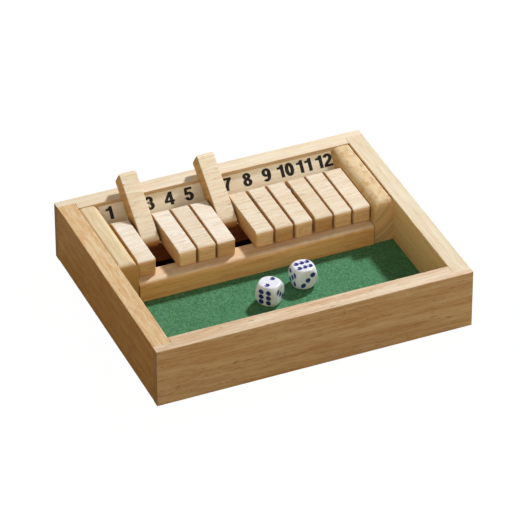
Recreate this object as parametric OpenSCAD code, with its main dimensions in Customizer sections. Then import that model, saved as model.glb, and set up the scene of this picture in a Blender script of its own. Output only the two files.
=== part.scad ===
// Shut the box game: a wooden tray with twelve number tiles on a steel rod and two dice.
// Millimetres. X runs along the row of numbers, Y from the player to the back, Z up.
// The origin is on the table, under the middle of the box.

/* [Box] */
// Depth of the box, front to back, outside
box_d = 172; // [165:1:210]
// Thickness of the four rails
rail_t = 12; // [10:0.5:13]
// Thickness of the tongue that laps over the end of a side rail
tongue_t = 6; // [4:0.5:8]
// Radius of the outer arrises
outer_ease = 0.6; // [0.4:0.1:2]
// Radius of the inner top arrises
inner_ease = 0.5; // [0.2:0.1:1]

/* [Bottom] */
// Thickness of the bottom panel
panel_t = 3.5; // [3:0.5:4]
// Height of the underside of the panel above the table
panel_z = 5.3; // [4:0.1:6]
// Wood left between the bottom of a groove and the line of the tongues
groove_wall = 1; // [0.5:0.1:2]
// Gap left at the bottom of the grooves
groove_gap = 0.3; // [0.1:0.1:1]
// Thickness of the felt
felt_t = 1; // [0.5:0.1:1.5]

/* [Tile row] */
// Width of one tile
tile_w = 11.8; // [11:0.1:12.2]
// Thickness of one tile
tile_t = 11.8; // [10.5:0.1:12.5]
// Length of a tile in front of the rod
tile_head = 39; // [34:0.5:40]
// Length of a tile behind the rod
tile_tail = 11; // [8:0.5:12]
// Radius of the upper front edge of a tile
head_top_r = 3.5; // [2:0.5:5]
// Radius of the lower front edge of a tile
head_low_r = 2.5; // [1:0.5:5]
// Radius of the two upright front edges of a tile
head_side_r = 1.8; // [0.5:0.1:3]
// Radius of the two rear edges of a tile
tail_r = 5; // [2:0.5:5]
// Radius of the long arrises of a tile
tile_ease = 0.7; // [0.3:0.1:1.2]
// Play on each side of a washer
tile_play = 0.3; // [0.25:0.01:0.5]
// Clearance between a resting tile and what it rests on
rest_gap = 0.12; // [0.05:0.01:0.3]

/* [Rod and washers] */
// Diameter of the steel rod
rod_d = 4; // [3:0.5:5]
// Radial clearance of the rod in the tiles
rod_clear = 0.08; // [0.04:0.01:0.1]
// Radial clearance of the rod in the end blocks
rod_seat_clear = 0.02; // [0.01:0.01:0.05]
// Wood left in the end blocks behind the ends of the rod
rod_wall = 5; // [3:0.5:8]
// Depth of the rod below the top of the rails
rod_drop = 10.68; // [9:0.1:12]
// Outer diameter of a washer
washer_d = 9; // [7:0.5:10]
// Thickness of a washer
washer_t = 0.8; // [0.5:0.1:1]
// Radial clearance of the rod in a washer
washer_clear = 0.15; // [0.1:0.05:0.3]

/* [End blocks] */
// Width of an end block
block_w = 13.1; // [10:0.1:20]
// Drop from the top of the rails to the top of the end blocks
block_drop = 0.7; // [0.3:0.1:2]
// Radius of the end blocks beside the tiles
block_in_r = 5.5; // [2:0.5:6]
// Radius of the end blocks beside the side rails
block_out_r = 2; // [1:0.5:4]
// Radius of the upper front edge of the end blocks
block_front_r = 5; // [2:0.5:6]
// Setback of the end blocks behind the face of the rest bar
block_setback = 0.8; // [0.2:0.1:2]

/* [Rest bar] */
// Distance from the front ends of the tiles to the front of the rest bar
bar_lead = 5.5; // [3:0.5:10]
// Depth of the rest bar
bar_d = 13.5; // [11:0.5:15]
// Height of the rest bar above the bottom panel
bar_h = 15; // [13:0.5:18]
// Radius of the upper front edge of the rest bar
bar_front_r = 3; // [1:0.5:5]
// Radius of the upper rear edge of the rest bar
bar_rear_r = 0.8; // [0.4:0.1:2]

/* [Boards] */
// Thickness of the floor board under the tiles
floor_t = 5.2; // [3:0.1:6]
// Distance from the rod to the front of the floor board
floor_reach = 13.4; // [10:0.1:18]
// Slope of the number board
board_slope = 50; // [46:1:54]
// Thickness of the number board
board_t = 4; // [3:0.5:5]
// Drop from the top of the back rail to the number board
board_drop = 2.7; // [2:0.1:4]
// Clearance of a turning tile from the face of the number board
board_clear = 2.95; // [1:0.05:5]

/* [Dice] */
// Edge of a die
die_a = 14.5; // [12:0.5:16]
// Diameter of the sphere that rounds the corners, as a multiple of the edge
die_round = 1.34; // [1.25:0.01:1.5]
// Diameter of a pip
pip_d = 2.9; // [2:0.1:3]
// Depth of a pip
pip_depth = 0.5; // [0.3:0.1:0.8]
// Clearance between a die and the felt
die_gap = 0.1; // [0.05:0.01:0.3]
// Distance of the first die to the left of the middle
die_1_left = 5.3; // [0:0.1:20]
// Distance of the first die from the rest bar
die_1_front = 30; // [20:0.1:60]
// Turn of the first die
die_1_turn = 42; // [0:1:90]
// Distance of the second die to the right of the middle
die_2_right = 20.9; // [20:0.1:60]
// Distance of the second die from the rest bar
die_2_front = 21.6; // [12:0.1:60]
// Turn of the second die
die_2_turn = 2.6; // [0:0.1:90]

/* [Hidden] */
$fn = 64;
// Oversize of a cutting body
cut = 1;

TILES = 12;
// Tiles that stand flipped over, as in a game under way
FLIPPED = [2, 6];
// How far each tile has slid along the rod, as a share of the play
SLID = [1.3, 2.6, 3.9, 3.6, 3.2, 2.4, 1.9, 2.6, 2.6, 4.8, 3.9, 3.1];

// Heights
panel_top = panel_z + panel_t;
felt_top = panel_top + felt_t;
floor_top = panel_top + floor_t;
rod_z = panel_top + bar_h + rest_gap + tile_t / 2;
box_h = rod_z + rod_drop;
block_top = box_h - block_drop;

// Along the row: the gap at its ends is the same as inside
tile_gap = washer_t + 2 * tile_play;
tile_pitch = tile_w + tile_gap;
row_w = TILES * tile_pitch + tile_gap;
block_x = row_w / 2;
in_x = block_x + block_w;
box_w = 2 * (in_x + rail_t);
in_y = box_d / 2 - rail_t;
// The grooves for the panel stop short of the tongues at the corners
groove_d = rail_t - tongue_t - groove_wall;

// Number board: its face meets the back rail below the rim, and the rod
// stands in front of it, so that the rear ends of the tiles turn clear of it
board_top = box_h - board_drop;
board_foot_y = in_y - (board_top - floor_top) / tan(board_slope);
tail_swing = tail_r + norm([tile_tail - tail_r, tile_t / 2 - tail_r]);
rod_back = (tail_swing + board_clear + (board_top - rod_z) * cos(board_slope)) / sin(board_slope);

// Rod, rest bar and end blocks
rod_r = rod_d / 2;
rod_y = in_y - rod_back;
rod_seat = block_w - rod_wall;
bar_front = rod_y - tile_head - bar_lead;
block_front = bar_front + block_setback;

// A flipped tile lies against the inner top arris of the back rail.
// The centre of that arris, seen from the rod:
arris_y = in_y + inner_ease - rod_y;
arris_z = box_h - inner_ease - rod_z;
arris_dist = sqrt(arris_y * arris_y + arris_z * arris_z);
lean = atan2(arris_z, arris_y) + asin((tile_t / 2 + inner_ease + rest_gap) / arris_dist);
flip_angle = 180 - lean;

// Dice: centre, turn about Z, and whether the six faces sideways
DICE = [
    [-die_1_left, bar_front - die_1_front, die_1_turn, true],
    [die_2_right, bar_front - die_2_front, die_2_turn, false]
];
pip_side = 0.22 * die_a;
pip_row = 0.255 * die_a;
pip_column = 0.17 * die_a;
pip_pair = 0.27 * die_a;
// Sphere that cuts a pip of the given width and depth
pip_ball = (pip_d * pip_d / 4 + pip_depth * pip_depth) / (2 * pip_depth);

echo(rod_y = rod_y, rod_z = rod_z, flip_angle = flip_angle, felt_top = felt_top);

// Where each tile sits along the rod
function tile_x(i) = (i - (TILES + 1) / 2) * tile_pitch + SLID[i - 1] * tile_play;
function flipped(i) = len([for (f = FLIPPED) if (f == i) f]) > 0;

// A quarter of a square's corner outside its rounding, at the origin, facing +X +Y
module corner_waste(r) {
    translate([-r, -r])
        difference() {
            square(r + cut);
            circle(r);
        }
}

// Rectangle from the origin with its own radius at each corner
module eased_rect(w, h, low_left, low_right, top_right, top_left) {
    difference() {
        square([w, h]);
        rotate(180) corner_waste(low_left);
        translate([w, 0]) rotate(-90) corner_waste(low_right);
        translate([w, h]) corner_waste(top_right);
        translate([0, h]) rotate(90) corner_waste(top_left);
    }
}

// Extrude a profile drawn in (Y, Z) along X, centred
module along_x(length) {
    translate([-length / 2, 0, 0])
        rotate([90, 0, 90])
            linear_extrude(length) children();
}

// Extrude a profile drawn in (X, Z) along Y from y0 to y1
module along_y(y0, y1) {
    translate([0, y1, 0])
        rotate([90, 0, 0])
            linear_extrude(y1 - y0) children();
}

// Upright space inside the outline of the whole box, with its corners eased
module box_outline() {
    translate([-box_w / 2, -box_d / 2, -cut])
        linear_extrude(box_h + 2 * cut)
            eased_rect(box_w, box_d, outer_ease, outer_ease, outer_ease, outer_ease);
}

// Section of a rail with its outer face at 0 and its inner face at rail_t, grooved for the panel
module rail_section() {
    difference() {
        eased_rect(rail_t, box_h, outer_ease, inner_ease, inner_ease, outer_ease);
        translate([rail_t - groove_d, panel_z]) square([groove_d + cut, panel_t]);
    }
}

// A rail across the full width: its ends are rabbeted for the side rails
module long_rail() {
    difference() {
        intersection() {
            translate([0, -box_d / 2, 0]) along_x(box_w) rail_section();
            box_outline();
        }
        for (side = [-1, 1])
            translate([side * box_w / 2, 0, 0])
                translate([-rail_t, -box_d / 2 + tongue_t, -cut])
                    cube([2 * rail_t, rail_t, box_h + 2 * cut]);
    }
}

// A rail between the tongues of the front and back rails
module side_rail() {
    half = box_d / 2 - tongue_t;
    translate([-box_w / 2, 0, 0]) along_y(-half, half) rail_section();
}

module front_rail() {
    color("BurlyWood") long_rail();
}

module back_rail() {
    color("BurlyWood") mirror([0, 1, 0]) long_rail();
}

module left_rail() {
    color("Tan") side_rail();
}

module right_rail() {
    color("Tan") mirror([1, 0, 0]) side_rail();
}

module bottom_panel() {
    w = 2 * (in_x + groove_d - groove_gap);
    d = 2 * (in_y + groove_d - groove_gap);
    color("Wheat")
        translate([-w / 2, -d / 2, panel_z])
            cube([w, d, panel_t]);
}

// Felt of the rolling tray: up to the rest bar, and up to the end blocks beside it
module felt_mat() {
    color("SeaGreen")
        translate([0, 0, panel_top])
            linear_extrude(felt_t) {
                translate([-in_x, -in_y]) square([2 * in_x, in_y + bar_front]);
                for (side = [-1, 1])
                    translate([side * (block_x + block_w / 2) - block_w / 2, bar_front - cut])
                        square([block_w, block_setback + cut]);
            }
}

// Right end block; the rod is seated in a blind hole in its inner face
module end_block() {
    h = block_top - panel_top;
    difference() {
        intersection() {
            translate([block_x, 0, panel_top])
                along_y(block_front, in_y)
                    eased_rect(block_w, h, 0, 0, block_out_r, block_in_r);
            translate([block_x + block_w / 2, block_front, panel_top])
                along_x(block_w + 2 * cut)
                    eased_rect(in_y - block_front, h, 0, 0, 0, block_front_r);
        }
        translate([block_x - cut, rod_y, rod_z])
            rotate([0, 90, 0])
                cylinder(r = rod_r + rod_seat_clear, h = rod_seat + cut);
    }
}

module right_end_block() {
    color("Peru") end_block();
}

module left_end_block() {
    color("Peru") mirror([1, 0, 0]) end_block();
}

module rest_bar() {
    color("BurlyWood")
        translate([0, bar_front, panel_top])
            along_x(row_w)
                eased_rect(bar_d, bar_h, 0, 0, bar_rear_r, bar_front_r);
}

module floor_board() {
    front = rod_y - floor_reach;
    color("Sienna")
        translate([-block_x, front, panel_top])
            cube([row_w, in_y - front, floor_t]);
}

// Sloping board that carries the numbers, from the floor board up to the back rail
module number_board() {
    back_drop = board_t / cos(board_slope);
    foot = board_t / sin(board_slope);
    color("BurlyWood")
        along_x(row_w)
            polygon([
                [board_foot_y, floor_top],
                [board_foot_y + foot, floor_top],
                [in_y, board_top - back_drop],
                [in_y, board_top]
            ]);
}

module pivot_rod() {
    length = row_w + 2 * rod_seat;
    color("Silver")
        translate([-length / 2, rod_y, rod_z])
            rotate([0, 90, 0])
                cylinder(r = rod_r, h = length);
}

// One washer hangs on the rod between each two tiles
module washers() {
    drop = 0.85 * washer_clear;
    color("Silver")
        for (i = [1:TILES - 1])
            translate([(tile_x(i) + tile_x(i + 1)) / 2 - washer_t / 2, rod_y, rod_z - drop])
                rotate([0, 90, 0])
                    difference() {
                        cylinder(d = washer_d, h = washer_t);
                        translate([0, 0, -cut]) cylinder(r = rod_r + washer_clear, h = washer_t + 2 * cut);
                    }
}

// A tile lying forward, about the rod: side outline, eased arrises and bore
module tile_body() {
    length = tile_head + tile_tail;
    difference() {
        intersection() {
            translate([0, -tile_head, -tile_t / 2])
                along_x(tile_w)
                    eased_rect(length, tile_t, head_low_r, tail_r, tail_r, head_top_r);
            translate([-tile_w / 2, 0, -tile_t / 2])
                along_y(-tile_head, tile_tail)
                    eased_rect(tile_w, tile_t, tile_ease, tile_ease, tile_ease, tile_ease);
            translate([-tile_w / 2, -tile_head, -tile_t / 2])
                linear_extrude(tile_t)
                    eased_rect(tile_w, length, head_side_r, head_side_r, tile_ease, tile_ease);
        }
        translate([-tile_w / 2 - cut, 0, 0])
            rotate([0, 90, 0])
                cylinder(r = rod_r + rod_clear, h = tile_w + 2 * cut);
    }
}

module tile(i) {
    color("Wheat")
        translate([tile_x(i), rod_y, rod_z])
            rotate([flipped(i) ? -flip_angle : 0, 0, 0])
                tile_body();
}

// Pips on the top of a cube, at the points of a list
module pips(points) {
    for (p = points)
        translate([p[0], p[1], die_a / 2 - pip_depth + pip_ball])
            sphere(r = pip_ball);
}

// A die with six up, three to the front and two to the right, about its centre
module die_body() {
    k = pip_side;
    corners = [for (x = [-k, k], y = [-k, k]) [x, y]];
    difference() {
        intersection() {
            cube(die_a, center = true);
            sphere(d = die_a * die_round);
        }
        pips([for (x = [-pip_row, 0, pip_row], y = [-pip_column, pip_column]) [x, y]]);
        rotate([180, 0, 0]) pips([[0, 0]]);
        rotate([90, 0, 0]) pips([[-k, -k], [0, 0], [k, k]]);
        rotate([-90, 0, 0]) pips(corners);
        rotate([0, 90, 0]) pips([[-pip_pair, 0], [pip_pair, 0]]);
        rotate([0, -90, 0]) pips(concat(corners, [[0, 0]]));
    }
}

module die(n) {
    d = DICE[n - 1];
    color("White")
        translate([d[0], d[1], felt_top + die_gap + die_a / 2])
            rotate([0, 0, d[2]])
                rotate([0, d[3] ? -90 : 0, 0])
                    die_body();
}

front_rail();
back_rail();
left_rail();
right_rail();
bottom_panel();
felt_mat();
left_end_block();
right_end_block();
rest_bar();
floor_board();
number_board();
pivot_rod();
washers();
for (i = [1:TILES]) tile(i);
die(1);  // die_1
die(2);  // die_2
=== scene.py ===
"""Looks for the shut the box game: wood, felt, steel, dice, printed numbers, light and camera.

Lengths are in millimetres in the part's frame, unless a comment says otherwise, and the dice
and numbers become metres when their meshes are made. Colours given to srgb run from 0 to 255.
"""

import math
from collections import namedtuple

import bpy
from mathutils import Matrix, Vector


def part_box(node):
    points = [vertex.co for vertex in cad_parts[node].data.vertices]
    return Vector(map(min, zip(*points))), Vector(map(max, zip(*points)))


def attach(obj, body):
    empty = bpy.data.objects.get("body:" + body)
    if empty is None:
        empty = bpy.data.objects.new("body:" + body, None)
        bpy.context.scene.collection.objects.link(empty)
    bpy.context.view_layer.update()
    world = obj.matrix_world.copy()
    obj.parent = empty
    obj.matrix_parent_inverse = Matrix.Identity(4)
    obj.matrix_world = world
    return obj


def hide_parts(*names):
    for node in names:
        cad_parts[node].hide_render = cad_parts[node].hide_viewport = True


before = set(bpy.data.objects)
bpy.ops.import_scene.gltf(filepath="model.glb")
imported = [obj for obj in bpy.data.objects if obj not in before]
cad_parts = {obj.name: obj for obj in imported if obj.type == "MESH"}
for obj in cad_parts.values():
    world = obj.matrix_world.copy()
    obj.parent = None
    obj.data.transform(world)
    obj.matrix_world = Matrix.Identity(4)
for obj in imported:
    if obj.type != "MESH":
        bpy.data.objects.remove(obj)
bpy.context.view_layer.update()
MM = 0.001


def srgb(r, g, b):
    """An sRGB colour in 0 to 255 as linear values."""
    out = []
    for c in (r, g, b):
        c /= 255
        out.append(c / 12.92 if c <= 0.04045 else ((c + 0.055) / 1.055) ** 2.4)
    return tuple(out)


# Node trees

# How far the noise moves along each axis from one seed to the next
SEED_STEP = (17.3, 5.1, 9.7)
# Where the Mix node keeps its two colours, and its result
MIX_COLORS = (6, 7)
MIX_RESULT = 2


class Nodes:
    """Adds nodes to an emptied tree. Wherever a value goes in, it may be a socket to link."""

    def __init__(self, tree):
        self.tree = tree
        self.tree.nodes.clear()

    def add(self, kind):
        """A new node of a kind, named without the ShaderNode that all kinds begin with."""
        return self.tree.nodes.new(f"ShaderNode{kind}")

    def put(self, socket, value):
        """Links a socket to an input, or sets the input's own value."""
        if isinstance(value, bpy.types.NodeSocket):
            self.tree.links.new(value, socket)
        elif socket.type == "RGBA" and len(value) == 3:
            socket.default_value = (*value, 1)
        else:
            socket.default_value = value

    def fill(self, node, values):
        """Puts values into the first inputs of a node."""
        for socket, value in zip(node.inputs, values):
            self.put(socket, value)

    def math(self, op, a, b=0.0, c=0.0, clamp=False):
        n = self.add("Math")
        n.operation = op
        n.use_clamp = clamp
        self.fill(n, (a, b, c))
        return n.outputs[0]

    def vector(self, op, a, b=(0, 0, 0), scale=1.0):
        n = self.add("VectorMath")
        n.operation = op
        self.put(n.inputs[0], a)
        if op == "SCALE":
            self.put(n.inputs["Scale"], scale)
        else:
            self.put(n.inputs[1], b)
        return n.outputs["Value"] if op in ("LENGTH", "DOT_PRODUCT") else n.outputs[0]

    def split(self, v):
        n = self.add("SeparateXYZ")
        self.put(n.inputs[0], v)
        return n.outputs

    def join(self, x, y, z):
        n = self.add("CombineXYZ")
        self.fill(n, (x, y, z))
        return n.outputs[0]

    def noise(self, v, size, detail=3, rough=0.5, distort=0.0, seed=0.0):
        """Noise from 0 to 1 whose features are about size long, one length for each axis."""
        size = size if isinstance(size, tuple) else (size, size, size)
        place = self.add("Mapping")
        self.put(place.inputs["Vector"], v)
        place.inputs["Location"].default_value = tuple(seed * step for step in SEED_STEP)
        place.inputs["Scale"].default_value = tuple(1 / s for s in size)
        n = self.add("TexNoise")
        self.put(n.inputs["Vector"], place.outputs[0])
        n.inputs["Scale"].default_value = 1.0
        n.inputs["Detail"].default_value = detail
        n.inputs["Roughness"].default_value = rough
        n.inputs["Distortion"].default_value = distort
        return n.outputs["Fac"]

    def remap(self, v, low, high, to_low=0.0, to_high=1.0):
        """A smooth step from to_low at low to to_high at high."""
        n = self.add("MapRange")
        n.interpolation_type = "SMOOTHSTEP"
        self.fill(n, (v, low, high, to_low, to_high))
        return n.outputs[0]

    def mix(self, fac, a, b, blend="MIX"):
        n = self.add("Mix")
        n.data_type = "RGBA"
        n.blend_type = blend
        self.put(n.inputs[0], fac)
        for place, color in zip(MIX_COLORS, (a, b)):
            self.put(n.inputs[place], color)
        return n.outputs[MIX_RESULT]

    def bump(self, height, depth, strength):
        """A normal for a relief. depth is in metres."""
        n = self.add("Bump")
        n.inputs["Distance"].default_value = depth
        n.inputs["Strength"].default_value = strength
        self.put(n.inputs["Height"], height)
        return n.outputs[0]

    def light(self, kind, color, strength):
        """An Emission or a Background shader."""
        n = self.add(kind)
        self.put(n.inputs["Color"], color)
        self.put(n.inputs["Strength"], strength)
        return n.outputs[0]

    def blend(self, fac, a, b):
        """Shader a where fac is 0 and shader b where it is 1."""
        n = self.add("MixShader")
        self.fill(n, (fac, a, b))
        return n.outputs[0]

    def camera_ray(self):
        return self.add("LightPath").outputs["Is Camera Ray"]


class Graph(Nodes):
    """The node tree of one material with a main shader."""

    def __init__(self, name):
        self.material = bpy.data.materials.new(name)
        self.material.use_nodes = True
        super().__init__(self.material.node_tree)
        self.out = self.add("OutputMaterial")
        self.shader = self.add("BsdfPrincipled")
        self.show(self.shader.outputs[0])
        self.coord = self.add("TexCoord")

    def show(self, shader):
        self.put(self.out.inputs["Surface"], shader)

    def set(self, **values):
        """Sets inputs of the main shader; an underscore in a name is a space."""
        for name, value in values.items():
            self.put(self.shader.inputs[name.replace("_", " ")], value)

    def point(self):
        """The surface point in the part's frame, in millimetres."""
        return self.vector("SCALE", self.coord.outputs["Object"], scale=1 / MM)


# Wood

# A feature of the wood. number keeps its noise apart from the others'. size is its length along
# the grain, across it and in depth. detail, rough and distort go to the noise, and between its
# values low and high the feature sets in.
Feature = namedtuple("Feature", "number size detail rough distort low high")
BAND = Feature(1, 1.0, 3, 0.6, 0.0, 0.34, 0.68)
FIBRE = Feature(2, (13, 0.7, 0.7), 3, 0.65, 0.3, 0.34, 0.68)
STREAK = Feature(3, (26, 1.6, 1.6), 3, 0.6, 0.3, 0.42, 0.68)
BLOTCH = Feature(4, (34, 12, 12), 3, 0.55, 0.0, 0.45, 0.72)
DASH = Feature(5, (5.5, 0.55, 0.55), 2, 0.6, 0.0, 0.57, 0.74)
CROWD = Feature(6, (50, 5, 5), 2, 0.5, 0.0, 0.38, 0.62)
END_RING = Feature(7, 1.0, 2, 0.6, 0.0, 0.42, 0.58)
SPECK = Feature(8, 0.5, 2, 0.6, 0.0, 0.5, 0.72)
LONG_DASH = Feature(10, (20, 0.8, 0.8), 2, 0.5, 0.0, 0.64, 0.76)
# The grain wanders slowly across the board within a width of WANDER, and by a share of that in
# depth, and ripples by up to RIPPLE. The two noises have the numbers 0 and 9.
WANDER = 7.0
WANDER_SIZE = (75, 30, 30)
WANDER_DEPTH = 0.6
RIPPLE = 2.2
RIPPLE_SIZE = (9, 5, 5)
RIPPLE_NUMBER = 9
# Growth rings: their change per millimetre along the grain and away from the pith, the same for
# rings and specks on the cut ends, and how far apart the rings of two seeds lie
RING_ALONG = 0.012
RING_AWAY = 0.42
END_RING_AWAY = 0.55
SPECK_ALONG = 0.05
RING_SEED_STEP = 3.1
# How much fibres and streaks add to the tone, and specks to that of the cut ends, and the
# brightness of the darkest cut ends
FIBRE_TONE = 0.55
STREAK_TONE = 0.75
SPECK_TONE = 0.4
DARK_END = 0.66
# How dense the pores are where they are fewest, and how strong the long ones are
FEWEST_PORES = 0.2
LONG_PORES = 0.7
# Between which cosines of the angle to the grain's direction a face comes to show cut ends
CUT_FACES = (0.55, 0.85)
# The dark line in which the ends of a piece meet their neighbours: where it sets in and is full,
# measured from the end, how dark it is, and its colour
JOINT_START = 0.6
JOINT_FULL = 0.2
JOINT_DARK = 0.75
JOINT_COLOR = (88, 50, 28)
# Extra roughness of dark bands and of cut ends
BAND_ROUGH = 0.08
END_ROUGH = 0.15
# The relief: the height of fibres against the depth of pores, its depth in metres, its strength
FIBRE_RELIEF = 0.25
WOOD_RELIEF = 0.00008
WOOD_BUMP = 0.7
# The outward normals of the sides of the box
FACES = {"-x": (-1, 0, 0), "+x": (1, 0, 0), "-y": (0, -1, 0), "+y": (0, 1, 0)}


def feature(g, point, kind, seed, to_low=0.0, to_high=1.0):
    """One feature of the wood, from to_low where it is absent to to_high where it is full."""
    value = g.noise(point, kind.size, kind.detail, kind.rough, kind.distort, seed + kind.number)
    return g.remap(value, kind.low, kind.high, to_low, to_high)


def wood(
    name,
    seed,
    pale,
    tan,
    grain="X",
    pore=(150, 100, 62),
    end=(206, 168, 118),
    bands=0.55,
    fibres=0.5,
    pores=0.5,
    wave=0.6,
    blotch=0.2,
    blotch_color=(222, 184, 132),
    patches=BLOTCH.size,
    pith=(0.0, -60.0),
    slant=0.0,
    face_shade=None,
    crisp=(0.6, 0.9),
    joint=None,
    end_rings=0.5,
    rough=0.45,
    gloss=0.4,
):
    """Pale fine-pored wood with its grain along one axis, and end grain on the faces across it.

    grain is that axis, X or Y. pale, tan, pore and end are the colours of the wood, its dark
    bands, its pores and its cut ends. bands, fibres, pores, blotch and end_rings say how
    strongly each of these shows, and wave how much the grain ripples. patches is how long,
    wide and deep the blotches are. pith is where the heart of the tree lies across the board
    and in depth. slant turns the grain a little in the plane of the board. face_shade paints
    shade on single faces: it gives a face, named in FACES or given as its outward normal, a
    darker or warmer tone that multiplies the wood's own, and crisp says at which cosines of
    the angle to that normal the painted shade sets in and is full. joint is half the length
    of a piece along x whose ends meet their neighbours in a dark line.
    rough and gloss are the roughness and the specular level.
    """
    g = Graph(name)
    x, y, z = g.split(g.point())
    along, across = (x, y) if grain == "X" else (y, x)
    if slant:
        along, across = (
            g.math("MULTIPLY_ADD", across, slant, along),
            g.math("MULTIPLY_ADD", along, -slant, across),
        )
    straight = g.join(along, across, z)
    wander = g.noise(straight, WANDER_SIZE, detail=2, seed=seed)
    wander = g.math("MULTIPLY_ADD", wander, WANDER, -WANDER / 2)
    ripple = g.noise(straight, RIPPLE_SIZE, detail=2, seed=seed + RIPPLE_NUMBER)
    wander = g.math("MULTIPLY_ADD", ripple, RIPPLE * wave, wander)
    across = g.math("ADD", across, wander)
    deep = g.math("MULTIPLY_ADD", wander, WANDER_DEPTH, z)
    point = g.join(along, across, deep)

    # Growth rings about the pith, with fibres and streaks in them
    aside = g.math("SUBTRACT", across, pith[0])
    below = g.math("SUBTRACT", deep, pith[1])
    ring = g.vector("LENGTH", g.join(0, aside, below))
    ring_along = g.math("MULTIPLY", along, RING_ALONG)
    ring_away = g.math("MULTIPLY", ring, RING_AWAY)
    band = feature(g, g.join(ring_along, ring_away, seed * RING_SEED_STEP), BAND, seed)
    fibre = feature(g, point, FIBRE, seed)
    streak = feature(g, point, STREAK, seed)
    tone = g.math("MULTIPLY", band, bands)
    tone = g.math("MULTIPLY_ADD", fibre, FIBRE_TONE * fibres, tone)
    tone = g.math("MULTIPLY_ADD", streak, STREAK_TONE * fibres, tone, clamp=True)
    color = g.mix(tone, srgb(*pale), srgb(*tan))
    patch = feature(g, point, BLOTCH._replace(size=patches), seed, 0.0, blotch)
    color = g.mix(patch, color, srgb(*blotch_color))

    # Pores: short dark dashes, denser in some bands, and a few long ones
    dash = feature(g, point, DASH, seed)
    crowd = feature(g, point, CROWD, seed, FEWEST_PORES, 1.0)
    long_dash = feature(g, point, LONG_DASH, seed, 0.0, LONG_PORES)
    dash = g.math("MAXIMUM", g.math("MULTIPLY", dash, crowd), long_dash)
    dash = g.math("MULTIPLY", dash, pores)
    color = g.mix(dash, color, srgb(*pore))

    # End grain on the faces across the grain
    normal = g.coord.outputs["Normal"]
    facing = g.math("ABSOLUTE", g.split(normal)[0 if grain == "X" else 1])
    cut = g.remap(facing, *CUT_FACES)
    end_ring_away = g.math("MULTIPLY", ring, END_RING_AWAY)
    end_ring = feature(g, g.join(end_ring_away, seed, 0), END_RING, seed)
    speck_along = g.math("MULTIPLY", along, SPECK_ALONG)
    speck = feature(g, g.join(speck_along, across, z), SPECK, seed)
    end_tone = g.math("MULTIPLY", end_ring, end_rings)
    end_tone = g.math("MULTIPLY_ADD", speck, SPECK_TONE, end_tone, clamp=True)
    dark_end = tuple(DARK_END * c for c in srgb(*end))
    color = g.mix(cut, color, g.mix(end_tone, srgb(*end), dark_end))

    # Painted shade on single faces, as darker, warmer tones; and the dark line at the ends
    for direction, shade in (face_shade or {}).items():
        turned = g.vector("DOT_PRODUCT", normal, FACES.get(direction, direction))
        shaded_color = g.mix(1.0, color, srgb(*shade), "MULTIPLY")
        color = g.mix(g.remap(turned, *crisp), color, shaded_color)
    if joint:
        outward = g.math("ABSOLUTE", x)
        line = g.remap(outward, joint - JOINT_START, joint - JOINT_FULL, 0.0, JOINT_DARK)
        color = g.mix(line, color, srgb(*JOINT_COLOR))

    roughness = g.math("MULTIPLY_ADD", tone, BAND_ROUGH, rough)
    roughness = g.math("MULTIPLY_ADD", cut, END_ROUGH, roughness)
    relief = g.math("MULTIPLY_ADD", dash, -1.0, g.math("MULTIPLY", fibre, FIBRE_RELIEF))
    g.set(Base_Color=color, Roughness=roughness, Specular_IOR_Level=gloss)
    g.set(Normal=g.bump(relief, WOOD_RELIEF, WOOD_BUMP))
    return g.material


def wear(node, material):
    """Gives every slot of a CAD node the same material."""
    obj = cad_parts[node]
    obj.data.materials.clear()
    obj.data.materials.append(material)


# Wood of the box

# Painted shade: darker, warmer tones of the rails' outer sides and of the sides and ends of
# the end blocks
OUTSIDE_SHADE = (232, 212, 178)
BLOCK_SIDE_SHADE = (250, 232, 196)
BLOCK_END_SHADE = (244, 228, 196)
# Colour of the rails' cut ends
RAIL_END = (176, 136, 86)
REST_BAR_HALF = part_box("rest_bar")[1][0] / MM

wear(
    "front_rail",
    wood(
        "front_rail_wood",
        seed=1.0,
        pale=(236, 217, 188),
        tan=(208, 168, 126),
        pore=(146, 88, 50),
        end=RAIL_END,
        slant=0.03,
        # Painted shade on the outer front face
        face_shade={"-y": OUTSIDE_SHADE},
        pores=0.9,
        bands=0.6,
    ),
)
wear(
    "back_rail",
    wood(
        "back_rail_wood",
        seed=2.0,
        pale=(241, 228, 204),
        tan=(225, 200, 164),
        end=RAIL_END,
        bands=0.4,
        pores=0.3,
        # Painted shade on the outer side and on the inner face under the top
        face_shade={"+y": OUTSIDE_SHADE, "-y": (226, 204, 176)},
    ),
)
wear(
    "left_rail",
    wood(
        "left_rail_wood",
        grain="Y",
        seed=3.0,
        pale=(234, 210, 168),
        tan=(213, 168, 114),
        pore=(168, 100, 46),
        bands=0.35,
        fibres=0.7,
        pores=0.95,
        wave=1.2,
        blotch=0.6,
        blotch_color=(212, 158, 92),
        patches=(12, 4, 4),
        # Painted shade: darker, warmer tones on the outer and inner sides
        face_shade={"-x": (218, 190, 148), "+x": (240, 222, 186)},
    ),
)
wear(
    "right_rail",
    wood(
        "right_rail_wood",
        grain="Y",
        seed=4.0,
        pale=(234, 221, 195),
        tan=(217, 194, 157),
        bands=0.5,
        fibres=0.6,
        pores=0.4,
        # Painted shade: the outer side's tone, and a warmer tone on the inner face
        face_shade={"+x": OUTSIDE_SHADE, "-x": (255, 230, 186)},
    ),
)
wear(
    "rest_bar",
    wood(
        "rest_bar_wood",
        seed=5.0,
        pale=(242, 219, 186),
        tan=(222, 180, 134),
        # Painted shade: a warmer tone on the front face
        face_shade={"-y": (255, 222, 172)},
        joint=REST_BAR_HALF,
    ),
)
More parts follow.
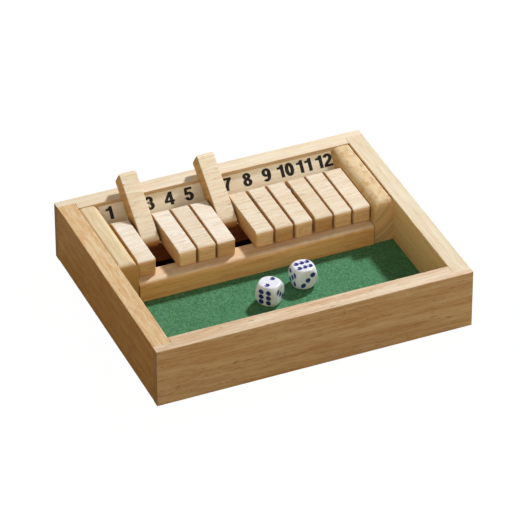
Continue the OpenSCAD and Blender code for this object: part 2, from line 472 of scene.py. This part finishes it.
wear(
    "left_end_block",
    wood(
        "left_block_wood",
        grain="Y",
        seed=6.0,
        pale=(236, 218, 182),
        tan=(218, 190, 142),
        end=(204, 166, 114),
        end_rings=0.15,
        bands=0.3,
        pores=0.12,
        blotch=0.5,
        blotch_color=(212, 180, 128),
        patches=(14, 7, 7),
        # Painted shade on the block's sides and ends
        face_shade={"-y": BLOCK_END_SHADE, "-x": BLOCK_SIDE_SHADE, "+x": BLOCK_SIDE_SHADE, "+y": BLOCK_END_SHADE},
    ),
)
wear(
    "right_end_block",
    wood(
        "right_block_wood",
        grain="Y",
        seed=7.0,
        pale=(231, 209, 168),
        tan=(210, 171, 118),
        pore=(160, 100, 52),
        end=(230, 186, 128),
        bands=0.25,
        fibres=0.3,
        blotch=0.8,
        blotch_color=(198, 150, 90),
        patches=(6, 4, 4),
        pores=0.65,
        end_rings=0.6,
        pith=(62.0, 52.0),
        # Painted shade on the block's sides
        face_shade={"-x": BLOCK_SIDE_SHADE, "+x": BLOCK_SIDE_SHADE},
    ),
)
wear(
    "number_board",
    wood(
        "number_board_wood",
        seed=8.0,
        pale=(255, 247, 224),
        tan=(250, 228, 194),
        pores=0.4,
        blotch=0.15,
    ),
)
wear(
    "floor_board",
    wood(
        "floor_board_wood",
        seed=9.0,
        pale=(158, 92, 44),
        tan=(116, 62, 26),
        pore=(62, 30, 12),
        end=(60, 36, 18),
        blotch=0.0,
        # Painted shade: the front face is near black, for the deep slot behind the rest bar
        face_shade={"-y": (60, 52, 46)},
        rough=0.75,
        gloss=0.12,
    ),
)
wear(
    "bottom_panel",
    wood(
        "bottom_panel_wood",
        seed=10.0,
        pale=(222, 196, 152),
        tan=(200, 166, 116),
        end=(170, 130, 84),
    ),
)

# Wood of the tiles

# Pale and tan of the woods that the tiles are cut from
FAIR = ((253, 249, 237), (236, 213, 184))
MAPLE = ((242, 232, 212), (223, 197, 160))
HONEY = ((238, 224, 200), (218, 190, 152))
CREAM = ((254, 243, 217), (240, 213, 175))
TILE_WOODS = [FAIR, CREAM, FAIR, MAPLE, FAIR, CREAM, MAPLE, MAPLE, MAPLE, HONEY, MAPLE, MAPLE]
# Painted shade: warmer, darker tones of the front ends, and of the tails of the two tiles that
# stand flipped back. The ruddy tone is partly the fronts' own darker wood and partly painted
# shade. The two flipped tiles are modelled flipped, so the ways that their front ends and tails
# face are turned with them.
WARM_FRONT_SHADE = (246, 212, 168)
RUDDY_FRONT_SHADE = (218, 176, 124)
TAIL_SHADE = (222, 178, 130)
RUDDY_FRONTS = (1, 5, 8, 10)
FLIPPED = (2, 6)
# How far a flipped tile is turned back from lying
FLIP = math.radians(144.5)
FRONT_WAY = (0, -math.cos(FLIP), math.sin(FLIP))
TAIL_WAY = (0, math.cos(FLIP), -math.sin(FLIP))
# Colours of the cut ends of the lying and the flipped tiles. The flipped tiles' are darker and
# warmer, which is painted shade.
LYING_END = (214, 172, 118)
SHADED_FLIPPED_END = (210, 164, 102)
# The seeds of the tiles, how far their grain slants, and where their piths lie. The steps spread
# slants and piths over the tiles by their sines.
TILE_SEED = 11.0
TILE_SEED_STEP = 1.7
TILE_SLANT = 0.05
TILE_SLANT_STEP = 2.3
TILE_PITH_ASIDE = 40
TILE_PITH_STEP = 1.9
TILE_PITH_BELOW = -70

for i, (pale, tan) in enumerate(TILE_WOODS, 1):
    # Painted shade on the front ends, and on the tails of the flipped tiles
    if i in FLIPPED:
        end_shades = {FRONT_WAY: WARM_FRONT_SHADE, TAIL_WAY: TAIL_SHADE}
    else:
        end_shades = {"-y": RUDDY_FRONT_SHADE if i in RUDDY_FRONTS else WARM_FRONT_SHADE}
    wear(
        f"tile_{i}",
        wood(
            f"tile_{i}_wood",
            seed=TILE_SEED + TILE_SEED_STEP * i,
            pale=pale,
            tan=tan,
            pore=(158, 112, 76),
            # The flipped tiles' cut ends carry a darker, warmer painted shade
            end=SHADED_FLIPPED_END if i in FLIPPED else LYING_END,
            pores=0.65,
            fibres=0.65,
            bands=0.35,
            wave=1.0,
            slant=TILE_SLANT * math.sin(TILE_SLANT_STEP * i),
            pith=(TILE_PITH_ASIDE * math.sin(TILE_PITH_STEP * i), TILE_PITH_BELOW),
            face_shade=end_shades,
            crisp=(0.55, 0.8),
        ),
    )


# Felt and steel

DEEP_GREEN = (44, 106, 64)
PALE_GREEN = (107, 165, 124)
# How much the felt's fuzz, clumps and slow changes add to its tone, and how far that is lowered
FUZZ_TONE = 0.5
CLUMP_TONE = 0.5
BROAD_TONE = 0.3
TONE_DROP = 0.18
# The height of clumps in the felt's relief, against that of the fuzz
CLUMP_RELIEF = 0.6
# Steel: the brightness of the dark brush marks, and how much rougher the marks are
DARK_MARKS = 0.8
MARK_ROUGH = 0.2


def felt():
    """Green felt: a fine fuzz and clumps of fibres, and slow changes over the sheet."""
    g = Graph("felt_green")
    p = g.point()
    fuzz = g.noise(p, size=0.55, detail=4, rough=0.75, distort=0.6, seed=1)
    clump = g.noise(p, size=(1.1, 1.6, 1.6), rough=0.65, distort=0.5, seed=2)
    broad = g.noise(p, size=14, detail=2, seed=3)
    tone = g.math("MULTIPLY", g.remap(fuzz, low=0.36, high=0.64), FUZZ_TONE)
    tone = g.math("MULTIPLY_ADD", g.remap(clump, low=0.34, high=0.66), CLUMP_TONE, tone)
    tone = g.math("SUBTRACT", tone, TONE_DROP)
    tone = g.math("MULTIPLY_ADD", broad, BROAD_TONE, tone, clamp=True)
    color = g.mix(tone, srgb(*DEEP_GREEN), srgb(*PALE_GREEN))
    g.set(Base_Color=color, Roughness=0.95, Specular_IOR_Level=0.1)
    g.set(Sheen_Weight=0.1, Sheen_Roughness=0.5, Sheen_Tint=(0.7, 0.9, 0.75))
    relief = g.math("MULTIPLY_ADD", clump, CLUMP_RELIEF, fuzz)
    g.set(Normal=g.bump(relief, depth=0.0004, strength=0.7))
    return g.material


def steel(name, size, tint, rough):
    """Brushed steel. tint is linear, and size is that of the brush marks along each axis."""
    g = Graph(name)
    marks = g.noise(g.point(), size, rough=0.6, seed=4)
    dark = tuple(DARK_MARKS * c for c in tint)
    g.set(Base_Color=g.mix(g.remap(marks, low=0.3, high=0.7), tint, dark))
    g.set(Metallic=1.0, Roughness=g.math("MULTIPLY_ADD", marks, MARK_ROUGH, rough))
    g.set(Normal=g.bump(marks, depth=0.00002, strength=0.4))
    return g.material


wear("felt_mat", felt())
ROD_STEEL = steel("rod_steel", size=(14, 0.25, 0.25), tint=(0.62, 0.62, 0.63), rough=0.28)
WASHER_STEEL = steel("washer_steel", size=0.25, tint=(0.42, 0.42, 0.42), rough=0.5)
wear("pivot_rod", ROD_STEEL)
wear("washers", WASHER_STEEL)


# Dice

DIE = 14.5
# The die is a cube rounded by a ball this many times as wide. The powers say how tight the cube's
# own edges are and those where the ball cuts it.
DIE_BALL = 1.34
CUBE_POWER = 22
CUT_POWER = 26
# How many squares the mesh has along an edge
DIE_STEPS = 84
# Pips: their radius and depth, and the power of their dished profile
PIP_RADIUS = 1.76
PIP_DEPTH = 0.45
PIP_PROFILE = 0.8
# How far pips stand from the middle of a face: in the threes, fours and fives, along and across
# the rows of the six, and in the two
PIP_CORNER = 0.22 * DIE
SIX_ALONG = 0.255 * DIE
SIX_ACROSS = 0.17 * DIE
PIP_PAIR = 0.27 * DIE
# Where the blue paint is full and where it ends, from the pip's rim outwards
PAINT_FULL = -0.10
PAINT_END = 0.02
WHITE_PLASTIC = (243, 246, 254)
COOL_PLASTIC = (235, 240, 252)
DEEP_BLUE = (24, 24, 104)
WORN_BLUE = (50, 58, 165)
# Roughness of the plastic, and what the paint adds to it
PLASTIC_ROUGH = 0.24
PAINT_ROUGH = 0.1
# How far light spreads within the plastic, in metres
PLASTIC_DEPTH = (0.002, 0.002, 0.002)


def pip_centres():
    """Centres of the pips on a die with six up, three in front and two to the right."""
    half = DIE / 2
    corners = [(a, b) for a in (-PIP_CORNER, PIP_CORNER) for b in (-PIP_CORNER, PIP_CORNER)]
    rows = [(x, y) for x in (-SIX_ALONG, 0, SIX_ALONG) for y in (-SIX_ACROSS, SIX_ACROSS)]
    out = [Vector((x, y, half)) for x, y in rows]
    out.append(Vector((0, 0, -half)))
    out += [Vector((a, -half, a)) for a in (-PIP_CORNER, 0, PIP_CORNER)]
    out += [Vector((a, half, b)) for a, b in corners]
    out += [Vector((half, 0, b)) for b in (-PIP_PAIR, PIP_PAIR)]
    out += [Vector((-half, a, b)) for a, b in corners + [(0, 0)]]
    return out


def die_mesh(name):
    """A cube rounded by a ball, with soft edges and dished pips.

    Its attribute pip is the distance to the nearest pip's rim.
    """
    half = DIE / 2
    ball = DIE * DIE_BALL / 2
    pips = pip_centres()
    index = {}
    verts = []
    faces = []
    rim = []

    def point(corner):
        """The number of the vertex at a corner of the squares, which is made when it is new."""
        if corner not in index:
            # The squares have equal angles as seen from the middle
            d = Vector((math.tan((c / DIE_STEPS * 2 - 1) * math.pi / 4) for c in corner))
            cube = sum(abs(c / half) ** CUBE_POWER for c in d) ** (1 / CUBE_POWER)
            # Where the ball cuts the cube, the edge between them is soft
            both = (cube**CUT_POWER + (d.length / ball) ** CUT_POWER) ** (1 / CUT_POWER)
            v = d / both
            near = min(pips, key=lambda c: (c - v).length)
            off = (near - v).length - PIP_RADIUS
            if off < 0:
                axis = max(range(3), key=lambda a: abs(near[a]))
                push = Vector((0, 0, 0))
                push[axis] = -math.copysign(1, near[axis])
                inward = 1 + off / PIP_RADIUS
                v = v + push * PIP_DEPTH * (1 - inward * inward) ** PIP_PROFILE
            index[corner] = len(verts)
            verts.append(v)
            rim.append(off)
        return index[corner]

    for axis in range(3):
        for end in (0, DIE_STEPS):
            for i in range(DIE_STEPS):
                for j in range(DIE_STEPS):
                    quad = []
                    for di, dj in ((0, 0), (1, 0), (1, 1), (0, 1)):
                        corner = [0, 0, 0]
                        corner[axis] = end
                        corner[(axis + 1) % 3] = i + di
                        corner[(axis + 2) % 3] = j + dj
                        quad.append(point(tuple(corner)))
                    faces.append(quad if end else quad[::-1])
    mesh = bpy.data.meshes.new(name)
    mesh.from_pydata([v * MM for v in verts], [], faces)
    mesh.update()
    mesh.polygons.foreach_set("use_smooth", [True] * len(mesh.polygons))
    layer = mesh.attributes.new("pip", "FLOAT", "POINT")
    layer.data.foreach_set("value", rim)
    return mesh


def dice_plastic():
    """White plastic, blue within the rims of the pips."""
    g = Graph("dice_plastic")
    p = g.point()
    pip = g.add("Attribute")
    pip.attribute_name = "pip"
    paint = g.remap(pip.outputs["Fac"], PAINT_FULL, PAINT_END, 1.0, 0.0)
    cloud = g.noise(p, size=5, detail=2, seed=5)
    white = g.mix(cloud, srgb(*WHITE_PLASTIC), srgb(*COOL_PLASTIC))
    worn = g.noise(p, size=0.8, rough=0.6, seed=6)
    blue = g.mix(g.remap(worn, low=0.35, high=0.7), srgb(*DEEP_BLUE), srgb(*WORN_BLUE))
    g.set(Base_Color=g.mix(paint, white, blue))
    g.set(Roughness=g.math("MULTIPLY_ADD", paint, PAINT_ROUGH, PLASTIC_ROUGH))
    g.set(Specular_IOR_Level=0.5, Subsurface_Weight=0.25, Subsurface_Radius=PLASTIC_DEPTH)
    g.set(Coat_Weight=0.15, Coat_Roughness=0.14)
    return g.material


DICE_PLASTIC = dice_plastic()
# How each die lies, turned from six up and three in front
DIE_TURNS = {
    1: Matrix.Rotation(math.radians(42), 4, "Z") @ Matrix.Rotation(math.radians(-90), 4, "Y"),
    2: Matrix.Rotation(math.radians(2.6), 4, "Z"),
}
for number, turn in DIE_TURNS.items():
    low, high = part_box(f"die_{number}")
    centre = (Vector(low) + Vector(high)) / 2
    mesh = die_mesh(f"die_{number}_shell")
    mesh.transform(Matrix.Translation(centre) @ turn)
    mesh.materials.append(DICE_PLASTIC)
    shell = bpy.data.objects.new(f"die_{number}_shell", mesh)
    bpy.context.scene.collection.objects.link(shell)
    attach(shell, f"die_{number}")
    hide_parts(f"die_{number}")


# Shapes of the digits, in parts of their height

# How much bolder every stroke is than its width as written below
BOLD = 1.22


def arc(cx, cy, rx, ry, start, stop, steps):
    """Points on an ellipse between two angles in degrees."""
    pts = []
    for k in range(steps + 1):
        a = math.radians(start + (stop - start) * k / steps)
        pts.append((cx + rx * math.cos(a), cy + ry * math.sin(a)))
    return pts


def strip(path, thick=0.2, thin=0.16, closed=False):
    """A pen stroke along a path, thinner where it runs level. Gives quads as lists of points."""
    left = []
    right = []
    n = len(path)
    for k in range(n):
        if closed:
            a, b = path[(k - 1) % n], path[(k + 1) % n]
        else:
            a, b = path[max(k - 1, 0)], path[min(k + 1, n - 1)]
        tx, ty = b[0] - a[0], b[1] - a[1]
        length = math.hypot(tx, ty)
        tx, ty = tx / length, ty / length
        w = BOLD * (thin * tx * tx + thick * ty * ty) / 2
        left.append((path[k][0] - ty * w, path[k][1] + tx * w))
        right.append((path[k][0] + ty * w, path[k][1] - tx * w))
    last = n if closed else n - 1
    return [[left[k], right[k], right[(k + 1) % n], left[(k + 1) % n]] for k in range(last)]


def block(x0, y0, x1, y1):
    """A rectangle between two corners."""
    return [(x0, y0), (x1, y0), (x1, y1), (x0, y1)]


def glyph(c):
    """One digit, a unit high, as a list of polygons."""
    if c == "0":
        return strip(arc(0, 0.5, 0.175, 0.42, 0, 350, 35), closed=True)
    if c == "1":
        stem = [(-0.105, 0), (0.12, 0), (0.12, 1.0), (-0.105, 0.84)]
        neck = [(-0.105, 0.84), (0.12, 1.0), (-0.055, 1.0), (-0.11, 0.9)]
        flag = [(-0.31, 0.675), (-0.105, 0.675), (-0.105, 0.84)]
        flag += [(-0.11, 0.9), (-0.17, 0.85), (-0.31, 0.83)]
        return [stem, neck, flag]
    if c == "2":
        bowl = arc(0, 0.715, 0.178, 0.21, 172, -22, 24)
        tail = [(0.115, 0.53), (0.02, 0.42), (-0.09, 0.30), (-0.165, 0.19), (-0.19, 0.10)]
        return strip(bowl + tail, 0.19, 0.16) + [block(-0.295, 0, 0.285, 0.185)]
    if c == "3":
        upper = arc(-0.01, 0.74, 0.165, 0.185, 168, -62, 22)
        lower = arc(-0.005, 0.29, 0.185, 0.213, 78, -168, 26)
        bar = block(-0.11, 0.47, 0.02, 0.60)
        return strip(upper, 0.18, 0.15) + strip(lower, 0.19, 0.15) + [bar]
    if c == "4":
        slope = [(-0.32, 0.375), (-0.11, 0.375), (0.10, 0.72), (0.03, 1.0)]
        return [block(0.03, 0, 0.24, 1.0), block(-0.32, 0.195, 0.33, 0.375), slope]
    if c == "5":
        top = block(-0.21, 0.82, 0.255, 1.0)
        back = [(-0.28, 0.455), (-0.08, 0.455), (-0.055, 1.0), (-0.22, 1.0)]
        bowl = arc(-0.01, 0.325, 0.185, 0.247, 148, -168, 30)
        return [top, back] + strip(bowl, 0.19, 0.155)
    if c == "6":
        bowl = strip(arc(0, 0.315, 0.178, 0.238, 0, 350, 30), 0.185, 0.15, closed=True)
        back = strip(arc(0.03, 0.46, 0.21, 0.46, 195, 52, 22), 0.19, 0.155)
        return bowl + back
    if c == "7":
        leg = [(0.175, 0.88), (0.06, 0.70), (-0.03, 0.48), (-0.075, 0.26), (-0.09, 0)]
        return [block(-0.28, 0.82, 0.285, 1.0)] + strip(leg, 0.19, 0.155)
    if c == "8":
        upper = strip(arc(0, 0.75, 0.155, 0.175, 0, 348, 30), 0.18, 0.145, closed=True)
        lower = strip(arc(0, 0.285, 0.182, 0.21, 0, 348, 30), 0.19, 0.15, closed=True)
        return upper + lower
    # A nine is a six upside down
    return [[(-px, 1 - py) for px, py in poly] for poly in glyph("6")]


# Printed numbers

# The board's face: its top edge, the way down the slope and the way out of it
SLOPE = math.radians(50)
board_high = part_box("number_board")[1]
TOP_EDGE = Vector((0, board_high[1], board_high[2])) / MM
DOWN = Vector((0, -math.cos(SLOPE), -math.sin(SLOPE)))
OUT = Vector((0, -math.sin(SLOPE), math.cos(SLOPE)))
# The numbers: their height, how much wider they are than their shapes above, how far their tops
# lie below the board's top edge, and how far they stand off its face
HEIGHT = 8.3
WIDE = 1.26
LABEL_TOP = 1.15
LIFT = 0.03
# Where the first number stands, the pitch of the row, and how far apart two digits are
FIRST_X = -73.3
PITCH = 13.4
DIGIT_STEP = 0.56 * HEIGHT * WIDE
# A number of two digits stands a little to the left, and a one a little to the right
TWO_DIGIT_SHIFT = -0.4
ONE_SHIFT = 0.09 * HEIGHT
BLACK_INK = (20, 16, 14)
BROWN_INK = (46, 34, 26)


def ink():
    """Black ink, worn brown in places."""
    g = Graph("number_ink")
    worn = g.noise(g.point(), size=(1.2, 0.5, 0.5), rough=0.6, seed=9)
    color = g.mix(g.remap(worn, low=0.3, high=0.75), srgb(*BLACK_INK), srgb(*BROWN_INK))
    g.set(Base_Color=color)
    g.set(Roughness=0.55, Specular_IOR_Level=0.35)
    return g.material


INK = ink()
for i in range(1, 13):
    x = FIRST_X + (i - 1) * PITCH
    text = str(i)
    if len(text) > 1:
        x += TWO_DIGIT_SHIFT
    verts = []
    faces = []
    for k, c in enumerate(text):
        shift = x + (k - (len(text) - 1) / 2) * DIGIT_STEP
        if c == "1":
            shift += ONE_SHIFT
        for poly in glyph(c):
            faces.append(list(range(len(verts), len(verts) + len(poly))))
            for px, py in poly:
                place = TOP_EDGE + DOWN * (LABEL_TOP + (1 - py) * HEIGHT) + OUT * LIFT
                verts.append((place + Vector((shift + px * HEIGHT * WIDE, 0, 0))) * MM)
    mesh = bpy.data.meshes.new(f"number_{i}")
    mesh.from_pydata(verts, [], faces)
    mesh.update()
    mesh.materials.append(INK)
    label = bpy.data.objects.new(f"number_{i}", mesh)
    bpy.context.scene.collection.objects.link(label)
    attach(label, "box")


# Floor, light and camera, in metres

WHITE = (1, 1, 1)
# The floor: its width, how far it lies under the box, and the colour that lights the box from
# below. The camera sees a white glow with a small share of a pale surface that takes the shadow.
FLOOR_WIDTH = 6
FLOOR_DROP = 0.0003
FLOOR_BOUNCE = (0.27, 0.225, 0.165)
FLOOR_PALE = (0.92, 0.92, 0.92)
FLOOR_GLOW = 1.03
FLOOR_GLOW_SHARE = 0.955
# A card of the room sets in between two values of the direction's x or y, from begin to full, and
# ends between two of its z, from top down to full_below. light is its strength.
Card = namedtuple("Card", "axis begin full top full_below light")
CARDS = [
    Card("x", begin=-0.2, full=-0.8, top=0.6, full_below=0.2, light=0.4),
    Card("y", begin=0.1, full=0.7, top=0.8, full_below=0.45, light=0.42),
    Card("y", begin=0.1, full=-0.75, top=0.95, full_below=0.5, light=0.88),
]
ROOM_LIGHT = 0.11
ROOM_COLOR = (1.0, 0.95, 0.84)
# The lamp: its width, its power in watts, its colour and its place
LAMP_WIDTH = 0.19
LAMP_POWER = 30.0
LAMP_COLOR = (0.97, 0.985, 1.03)
LAMP_PLACE = (1.05, 0.64, 1.30)
# The camera as fitted to the corners of the box in the photo: where it stands and its roll, in
# degrees, its focal length in the photo's pixels, and its distance and target in box widths
AZIMUTH = -23.127
ELEVATION = 35.4256
ROLL = -0.108
PHOTO_PIXELS = 520
FOCAL_PIXELS = 4204.7646
BOX_WIDTH = 210 * MM
DISTANCE = 12.672689
TARGET = (0.0565811, 0.1422187, 0.0)
# The sensor's width, in millimetres, and the nearest and farthest that the camera sees
SENSOR = 36
NEAREST = 0.1
FARTHEST = 20


def floor():
    """A floor that is white to the camera and keeps a faint shadow."""
    bpy.ops.mesh.primitive_plane_add(size=FLOOR_WIDTH, location=(0, 0, -FLOOR_DROP))
    plane = bpy.context.object
    plane.name = "floor"
    g = Graph("floor_white")
    g.set(Base_Color=FLOOR_BOUNCE, Roughness=0.9, Specular_IOR_Level=0.0)
    pale = g.add("BsdfDiffuse")
    g.put(pale.inputs["Color"], FLOOR_PALE)
    glow = g.light("Emission", WHITE, FLOOR_GLOW)
    seen = g.blend(FLOOR_GLOW_SHARE, pale.outputs[0], glow)
    g.show(g.blend(g.camera_ray(), g.shader.outputs[0], seen))
    plane.data.materials.append(g.material)


def sky():
    """A dim room with bright cards on the left, behind and low in front, white to the camera."""
    world = bpy.data.worlds.new("studio")
    bpy.context.scene.world = world
    world.use_nodes = True
    g = Nodes(world.node_tree)
    out = g.add("OutputWorld")
    way = dict(zip("xyz", g.split(g.add("TexCoord").outputs["Generated"])))
    level = ROOM_LIGHT
    for card in CARDS:
        across = g.remap(way[card.axis], card.begin, card.full, 0.0, card.light)
        level = g.math("MULTIPLY_ADD", across, g.remap(way["z"], card.top, card.full_below), level)
    soft = g.light("Background", ROOM_COLOR, level)
    white = g.light("Background", WHITE, 1.0)
    g.put(out.inputs["Surface"], g.blend(g.camera_ray(), soft, white))


def lamp():
    """A round studio lamp to the right of the box and a little behind it, turned towards it."""
    data = bpy.data.lights.new("key", "AREA")
    data.shape = "DISK"
    data.size = LAMP_WIDTH
    data.energy = LAMP_POWER
    data.color = LAMP_COLOR
    obj = bpy.data.objects.new("key", data)
    bpy.context.scene.collection.objects.link(obj)
    obj.location = LAMP_PLACE
    obj.rotation_euler = obj.location.to_track_quat("Z", "Y").to_euler()


def camera():
    """The photograph's own camera."""
    az = math.radians(AZIMUTH)
    el = math.radians(ELEVATION)
    roll = math.radians(ROLL)
    back = Vector((math.sin(az) * math.cos(el), -math.cos(az) * math.cos(el), math.sin(el)))
    level = (-back).cross(Vector((0, 0, 1))).normalized()
    above = level.cross(-back)
    right = level * math.cos(roll) + above * math.sin(roll)
    up = above * math.cos(roll) - level * math.sin(roll)
    place = Matrix((right, up, back)).transposed().to_4x4()
    place.translation = Vector(TARGET) * BOX_WIDTH + back * DISTANCE * BOX_WIDTH
    data = bpy.data.cameras.new("camera")
    data.sensor_width = SENSOR
    data.lens = FOCAL_PIXELS / PHOTO_PIXELS * SENSOR
    data.clip_start = NEAREST
    data.clip_end = FARTHEST
    obj = bpy.data.objects.new("camera", data)
    obj.matrix_world = place
    bpy.context.scene.collection.objects.link(obj)
    bpy.context.scene.camera = obj


floor()
sky()
lamp()
camera()
bpy.context.scene.view_settings.view_transform = "Standard"
